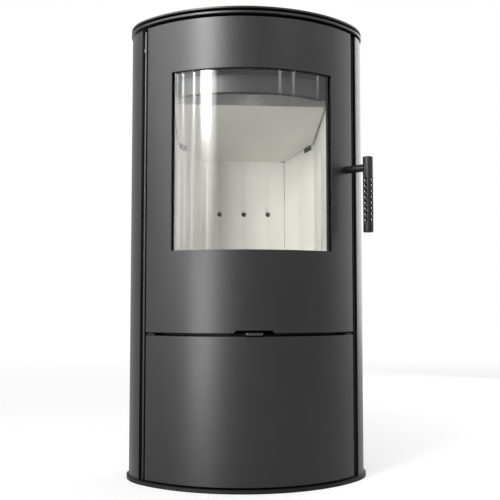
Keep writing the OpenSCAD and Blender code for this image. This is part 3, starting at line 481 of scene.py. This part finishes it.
def heads_on_bow_tree():
    """Puts a head on each point, its axis square to an upright bow's face."""
    tree = bpy.data.node_groups.new("heads_on_bow", "GeometryNodeTree")
    group_input(tree, "Places", "NodeSocketGeometry")
    group_input(tree, "Head", "NodeSocketObject")
    group_input(tree, "Bow centre", "NodeSocketVector")
    group_input(tree, "Finish", "NodeSocketMaterial")
    tree.interface.new_socket("Heads", in_out="OUTPUT", socket_type="NodeSocketGeometry")
    given = tree.nodes.new("NodeGroupInput")
    result = tree.nodes.new("NodeGroupOutput")
    position = tree.nodes.new("GeometryNodeInputPosition")
    away = add_node(tree, "ShaderNodeVectorMath", operation="SUBTRACT")
    level_out = add_node(tree, "ShaderNodeVectorMath", operation="MULTIPLY")
    level_out.inputs[1].default_value = (1.0, 1.0, 0.0)
    align = add_node(tree, "FunctionNodeAlignRotationToVector", axis="Z")
    head = tree.nodes.new("GeometryNodeObjectInfo")
    put = tree.nodes.new("GeometryNodeInstanceOnPoints")
    real = tree.nodes.new("GeometryNodeRealizeInstances")
    finish = tree.nodes.new("GeometryNodeSetMaterial")
    join(tree,
         (position.outputs[0], away.inputs[0]), (given.outputs["Bow centre"], away.inputs[1]),
         (away.outputs[0], level_out.inputs[0]),
         (level_out.outputs[0], align.inputs["Vector"]), (given.outputs["Head"], head.inputs[0]),
         (given.outputs["Places"], put.inputs["Points"]),
         (head.outputs["Geometry"], put.inputs["Instance"]),
         (align.outputs[0], put.inputs["Rotation"]), (put.outputs[0], real.inputs[0]),
         (real.outputs[0], finish.inputs[0]), (given.outputs["Finish"], finish.inputs["Material"]),
         (finish.outputs[0], result.inputs[0]))
    return tree


def grown_mesh(name, source, tree, **inputs):
    """Runs a geometry node tree on a mesh and keeps its result as a plain object."""
    carrier = bpy.data.objects.new(name + "_places", source)
    bpy.context.scene.collection.objects.link(carrier)
    modifier = carrier.modifiers.new("grow", "NODES")
    modifier.node_group = tree
    names = {i.name: i.identifier for i in tree.interface.items_tree if i.in_out == "INPUT"}
    for label, value in inputs.items():
        modifier[names[label.replace("_", " ")]] = value
    graph = bpy.context.evaluated_depsgraph_get()
    mesh = bpy.data.meshes.new_from_object(carrier.evaluated_get(graph), depsgraph=graph)
    bpy.data.objects.remove(carrier)
    mesh.name = name
    piece = bpy.data.objects.new(name, mesh)
    bpy.context.scene.collection.objects.link(piece)
    return piece


def points_mesh(name, points, edges=()):
    """Loose points, or a line through them."""
    mesh = bpy.data.meshes.new(name)
    mesh.from_pydata(points, edges, [])
    return mesh


REAR_SCREW_ANGLE = math.radians(28.5)
REAR_SCREW_HEIGHTS = (0.040, 0.320, 0.600, 0.8764)
rear_places = [(side * FRONT_RADIUS * math.sin(REAR_SCREW_ANGLE),
                FRONT_RADIUS * math.cos(REAR_SCREW_ANGLE) - FRONT_CENTRE_Y, height)
               for side in (-1, 1) for height in REAR_SCREW_HEIGHTS]
rear_head = screw_head("rear_screw_head", radius=0.0045, height=0.0026, socket=0.0014)
rear_screws = grown_mesh("rear_screws", points_mesh("rear_screws", rear_places),
                         heads_on_bow_tree(), Head=rear_head,
                         Bow_centre=(0.0, -FRONT_CENTRE_Y, 0.0), Finish=zinc)
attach(rear_screws, "stove")
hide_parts("panel_screws")

dress(zinc, "frame_bolts", "lever_pivot", "air_inlet_tube", "rear_heat_shield",
      "storage_strike")

# --- Flue socket ------------------------------------------------------------------------
# A rolled and welded tube on a collar, screwed to the firebox top, painted matt black.

broken_edges("flue_socket", "flue_spigot", "stove", inner_paint, 0.0005)

# --- Firebox in black steel --------------------------------------------------------------
# The welded box, its floor, top and curved front, the jet channel, the air box and the
# pieces fixed to them. Sheet steel under matt black heat-resistant paint. The air wash
# sheet behind the window is smoother; its downward faces get a darker, matt coat, a painted shade.

wash_paint = paint("wash_paint", (0.0055, 0.0055, 0.0055), (0.0080, 0.0080, 0.0080),
                   rough=(0.38, 0.42), grain=900.0, depth=0.00003, sheen_level=0.39)
# A darker, matt coat that paints shade on the downward faces of the air wash sheet.
underside_shade = paint("underside_shade", (0.004, 0.004, 0.004), (0.008, 0.007, 0.006),
             rough=(0.75, 0.90), grain=700.0, depth=0.0002, sheen_level=0.04)
wash_plate = broken_edges("wash_plate", "air_wash_plate", "stove", wash_paint,
                          0.0004)
wash_plate.data.materials.append(underside_shade)
# The faces turned downward take the painted shade.
FACES_DOWN = -0.5
for face in wash_plate.data.polygons:
    if face.normal.z < FACES_DOWN:
        face.material_index = 1
dress(inner_paint, "firebox_shell", "firebox_floor", "firebox_top", "firebox_front",
      "baffle_brackets", "smoke_deflector", "ash_chute", "air_box", "jet_channel",
      "hinge_pins")

# --- Lining boards -----------------------------------------------------------------------
# Pressed vermiculite boards, cream and slightly speckled, with shallow vertical grooves.
# They stand loose on the firebox floor; the sloping baffle rests on the rear one.


FLAKES = 420.0
PITS = 500.0


def board(name, low, high):
    """Vermiculite: cream ground, darker specks between its flakes, pitted face."""
    material, tree, output = new_material(name)
    shader = add_node(tree, "ShaderNodeBsdfPrincipled", Roughness=0.92)
    shader.inputs["Specular IOR Level"].default_value = 0.15
    ground = ramp(tree, mottled(tree, scale=9.0), low, high)
    place = add_node(tree, "ShaderNodeTexCoord")
    flakes = add_node(tree, "ShaderNodeTexVoronoi", Scale=FLAKES)
    tree.links.new(place.outputs["Object"], flakes.inputs["Vector"])
    flake_tone = ramp(tree, flakes.outputs["Distance"], (0.86, 0.86, 0.86), (1.0, 1.0, 1.0),
                      0.05, 0.35)
    mix = add_node(tree, "ShaderNodeMix", data_type="RGBA", blend_type="MULTIPLY")
    mix.inputs["Factor"].default_value = 0.8
    tree.links.new(ground, mix.inputs["A"])
    tree.links.new(flake_tone, mix.inputs["B"])
    tree.links.new(mix.outputs["Result"], shader.inputs["Base Color"])
    pits = bumps(tree, mottled(tree, PITS, detail=6.0), depth=0.0004, strength=0.5)
    tree.links.new(pits, shader.inputs["Normal"])
    tree.links.new(shader.outputs[0], output.inputs[0])
    return material


cream_board = board("cream_board", (0.83, 0.81, 0.76), (0.88, 0.86, 0.81))
for brick in ("back_brick", "corner_brick_left", "corner_brick_right", "side_brick_left",
              "side_brick_right", "floor_bricks", "baffle"):
    broken_edges(brick + "_board", brick, "stove", cream_board, 0.0008)

# --- Grate -------------------------------------------------------------------------------
# A cast-iron frame with parallel bars, left raw, let into the floor boards.

cast_iron = paint("cast_iron", (0.022, 0.022, 0.022), (0.040, 0.038, 0.036),
                  rough=(0.55, 0.72), grain=420.0, depth=0.0005)
broken_edges("grate_cast", "grate", "stove", cast_iron, 0.0012, segments=3)

# --- Storage compartment -----------------------------------------------------------------
# A three-sided liner and the plate between the doors, with the ash pan's runners under it,
# the door magnet and the latch keep. Sheet steel, matt black.

dress(inner_paint, "storage_liner", "storage_ceiling", "pan_runners", "storage_magnet",
      "latch_keep")

# --- Firebox door ------------------------------------------------------------------------
# A bowed steel skin with the window cut through it, painted as the casing is. Behind it a
# frame bolted through spacers clamps the bowed glass and carries the rope seal.

broken_edges("fire_door_skin", "door_skin", "door", casing_paint, 0.0008)
broken_edges("fire_door_frame", "door_inner_frame", "door", inner_paint, 0.0003)
dress(inner_paint, "door_lugs", "door_stiffener")

GLASS_INDEX = 1.45


def window_glass():
    """Clear ceramic glass that lets light into the firebox and mirrors on both faces.

    Inside the glass the index is turned over, so that its back face mirrors as its front.
    """
    material, tree, output = new_material("stove_glass")
    clear = add_node(tree, "ShaderNodeBsdfTransparent", Color=(0.98, 0.985, 0.98, 1.0))
    mirror = add_node(tree, "ShaderNodeBsdfGlossy", Roughness=0.02)
    side = tree.nodes.new("ShaderNodeNewGeometry")
    index = add_node(tree, "ShaderNodeMath", operation="MULTIPLY_ADD")
    index.inputs[1].default_value = 1.0 / GLASS_INDEX - GLASS_INDEX
    index.inputs[2].default_value = GLASS_INDEX
    edge = tree.nodes.new("ShaderNodeFresnel")
    tree.links.new(side.outputs["Backfacing"], index.inputs[0])
    tree.links.new(index.outputs[0], edge.inputs["IOR"])
    mix = add_node(tree, "ShaderNodeMixShader")
    tree.links.new(edge.outputs[0], mix.inputs[0])
    tree.links.new(clear.outputs[0], mix.inputs[1])
    tree.links.new(mirror.outputs[0], mix.inputs[2])
    tree.links.new(mix.outputs[0], output.inputs[0])
    return material


broken_edges("fire_door_glass", "door_glass", "door", window_glass(), 0.0005)

# --- Rope seals --------------------------------------------------------------------------
# Woven glass-fibre rope, grey, pressed into the door frame's channel, and a flat tape of
# the same between the skin and the glass.


STRANDS = 190.0
STRAND_LEAN = 45.0


def woven(name):
    """Glass-fibre braid: crossing strands of two greys."""
    material, tree, output = new_material(name)
    shader = add_node(tree, "ShaderNodeBsdfPrincipled", Roughness=0.85)
    place = add_node(tree, "ShaderNodeTexCoord")
    bands = []
    for lean in (STRAND_LEAN, -STRAND_LEAN):
        turn = add_node(tree, "ShaderNodeMapping")
        turn.inputs["Rotation"].default_value = (0.0, math.radians(lean), 0.0)
        wave = add_node(tree, "ShaderNodeTexWave", Scale=STRANDS, Distortion=0.8)
        tree.links.new(place.outputs["Object"], turn.inputs["Vector"])
        tree.links.new(turn.outputs[0], wave.inputs["Vector"])
        bands.append(wave.outputs["Fac"])
    cross = add_node(tree, "ShaderNodeMath", operation="MAXIMUM")
    tree.links.new(bands[0], cross.inputs[0])
    tree.links.new(bands[1], cross.inputs[1])
    tone = ramp(tree, cross.outputs[0], (0.10, 0.10, 0.095), (0.26, 0.255, 0.24),
                start=0.4, end=1.0)
    relief = bumps(tree, cross.outputs[0], depth=0.0008, strength=0.8)
    tree.links.new(tone, shader.inputs["Base Color"])
    tree.links.new(relief, shader.inputs["Normal"])
    tree.links.new(shader.outputs[0], output.inputs[0])
    return material


rope = woven("rope_seal")
dress(rope, "glass_gasket")

# The rope's line: half its spread over the bow in degrees, its heights, its depth behind
# the doors' face and its corner radius.
ROPE_ANGLE = 39.88
ROPE_LOW, ROPE_HIGH = 0.4330, 0.8280
ROPE_DEPTH = 0.0160
ROPE_CORNER = 0.010
CORNER_STEPS = 6
RUN_STEPS = 40


def on_bow(angle, depth, height):
    """A point behind the doors' bowed face, at an angle from the middle in degrees."""
    reach = FRONT_RADIUS - depth
    return (reach * math.sin(math.radians(angle)),
            FRONT_CENTRE_Y - reach * math.cos(math.radians(angle)), height)


def rope_path():
    """A closed line with round corners, in the middle of the seal's channel."""
    corner = math.degrees(ROPE_CORNER / FRONT_RADIUS)
    half = ROPE_ANGLE - corner
    points = []
    for side, end, turn in ((1, ROPE_LOW, 270.0), (1, ROPE_HIGH, 0.0),
                            (-1, ROPE_HIGH, 90.0), (-1, ROPE_LOW, 180.0)):
        inward = 1 if end == ROPE_LOW else -1
        for step in range(CORNER_STEPS + 1):
            bend = math.radians(turn + 90.0 * step / CORNER_STEPS)
            points.append(on_bow(side * half + corner * math.cos(bend), ROPE_DEPTH,
                                 end + inward * ROPE_CORNER + ROPE_CORNER * math.sin(bend)))
        if turn in (0.0, 180.0):
            for step in range(1, RUN_STEPS):
                points.append(on_bow(side * half * (1 - 2 * step / RUN_STEPS), ROPE_DEPTH, end))
    return points


ROPE_STEP = 0.0022
ROPE_FACETS = 36


def twisted_rope_tree():
    """Sweeps a lobed section along a closed line and twists it as it goes."""
    tree = bpy.data.node_groups.new("twisted_rope", "GeometryNodeTree")
    group_input(tree, "Line", "NodeSocketGeometry")
    group_input(tree, "Radius", "NodeSocketFloat")
    group_input(tree, "Lobe height", "NodeSocketFloat")
    group_input(tree, "Lobes", "NodeSocketFloat")
    group_input(tree, "Twist per metre", "NodeSocketFloat")
    group_input(tree, "Finish", "NodeSocketMaterial")
    tree.interface.new_socket("Rope", in_out="OUTPUT", socket_type="NodeSocketGeometry")
    given = tree.nodes.new("NodeGroupInput")
    result = tree.nodes.new("NodeGroupOutput")
    line = tree.nodes.new("GeometryNodeMeshToCurve")
    even = add_node(tree, "GeometryNodeResampleCurve", mode="LENGTH")
    even.inputs["Length"].default_value = ROPE_STEP
    along = tree.nodes.new("GeometryNodeSplineParameter")
    turn = add_node(tree, "ShaderNodeMath", operation="MULTIPLY")
    tilt = tree.nodes.new("GeometryNodeSetCurveTilt")
    circle = tree.nodes.new("GeometryNodeCurvePrimitiveCircle")
    circle.inputs["Resolution"].default_value = ROPE_FACETS
    place = tree.nodes.new("GeometryNodeInputPosition")
    parts = tree.nodes.new("ShaderNodeSeparateXYZ")
    angle = add_node(tree, "ShaderNodeMath", operation="ARCTAN2")
    many = add_node(tree, "ShaderNodeMath", operation="MULTIPLY")
    wave = add_node(tree, "ShaderNodeMath", operation="COSINE")
    rise = add_node(tree, "ShaderNodeMath", operation="MULTIPLY")
    out = add_node(tree, "ShaderNodeVectorMath", operation="NORMALIZE")
    push = add_node(tree, "ShaderNodeVectorMath", operation="SCALE")
    shift = tree.nodes.new("GeometryNodeSetPosition")
    sweep = tree.nodes.new("GeometryNodeCurveToMesh")
    smooth = tree.nodes.new("GeometryNodeSetShadeSmooth")
    real = tree.nodes.new("GeometryNodeRealizeInstances")
    finish = tree.nodes.new("GeometryNodeSetMaterial")
    join(tree,
         (given.outputs["Line"], line.inputs[0]), (line.outputs[0], even.inputs["Curve"]),
         (along.outputs["Length"], turn.inputs[0]),
         (given.outputs["Twist per metre"], turn.inputs[1]),
         (even.outputs[0], tilt.inputs["Curve"]), (turn.outputs[0], tilt.inputs["Tilt"]),
         (given.outputs["Radius"], circle.inputs["Radius"]),
         (place.outputs[0], parts.inputs[0]), (parts.outputs["Y"], angle.inputs[0]),
         (parts.outputs["X"], angle.inputs[1]), (angle.outputs[0], many.inputs[0]),
         (given.outputs["Lobes"], many.inputs[1]), (many.outputs[0], wave.inputs[0]),
         (wave.outputs[0], rise.inputs[0]), (given.outputs["Lobe height"], rise.inputs[1]),
         (place.outputs[0], out.inputs[0]), (out.outputs[0], push.inputs[0]),
         (rise.outputs[0], push.inputs["Scale"]), (circle.outputs[0], shift.inputs[0]),
         (push.outputs[0], shift.inputs["Offset"]), (tilt.outputs[0], sweep.inputs["Curve"]),
         (shift.outputs[0], sweep.inputs["Profile Curve"]), (sweep.outputs[0], smooth.inputs[0]),
         (smooth.outputs[0], real.inputs[0]), (real.outputs[0], finish.inputs[0]),
         (given.outputs["Finish"], finish.inputs["Material"]),
         (finish.outputs[0], result.inputs[0]))
    return tree


rope_points = rope_path()
rope_line = points_mesh("door_rope", rope_points,
                        [(k, (k + 1) % len(rope_points)) for k in range(len(rope_points))])
door_rope = grown_mesh("door_rope", rope_line, twisted_rope_tree(), Radius=0.0044,
                       Lobe_height=0.00035, Lobes=8.0, Twist_per_metre=130.0, Finish=rope)
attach(door_rope, "door")
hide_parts("door_gasket")

# --- Handle ------------------------------------------------------------------------------
# A steel arm through the door's bush, with a collar and the latch tongue, and a hanging
# tube grip with rows of vent holes that keep it cool. Blackened, satin.

handle_black = paint("handle_black", (0.005, 0.005, 0.005), (0.009, 0.009, 0.009),
                     rough=(0.42, 0.50), grain=1300.0, depth=0.00008, sheen_level=0.22)
broken_edges("handle_tube", "handle_grip", "handle", handle_black, 0.0003)
broken_edges("handle_bar", "handle_arm", "handle", handle_black, 0.0004)
dress(inner_paint, "latch_tongue", "latch_bush")

# --- Storage door ------------------------------------------------------------------------
# A plain bowed skin like the one above it, with folded stiffeners and hinge eyes inside.

broken_edges("storage_door_painted", "storage_door_skin", "storage_door", casing_paint,
             0.0008)
dress(inner_paint, "storage_door_lugs", "storage_stiffener")

# --- Air lever ---------------------------------------------------------------------------
# A black steel blade that turns a ported disc under the firebox, with a black-chromed
# knob that shows in the cut-out of the door.

black_chrome = paint("black_chrome", (0.008, 0.008, 0.009), (0.011, 0.011, 0.012),
                     rough=(0.20, 0.28), grain=700.0, depth=0.00003, sheen_level=0.6)
broken_edges("air_lever_knob", "air_knob", "air_lever", black_chrome, 0.0009,
             segments=3)
dress(inner_paint, "air_lever")

# --- Ash pan -----------------------------------------------------------------------------
# A folded and welded tray of sheet steel on the runners, with a bent strap handle of
# brushed steel.

dress(inner_paint, "ash_pan")
bright = plated("bright_steel", (0.70, 0.70, 0.70), rough=(0.20, 0.32), grain=300.0,
                depth=0.00005, stretch=(1.0, 1.0, 8.0))
broken_edges("ash_pan_strap", "pan_handle", "ash_pan", bright, 0.0005)
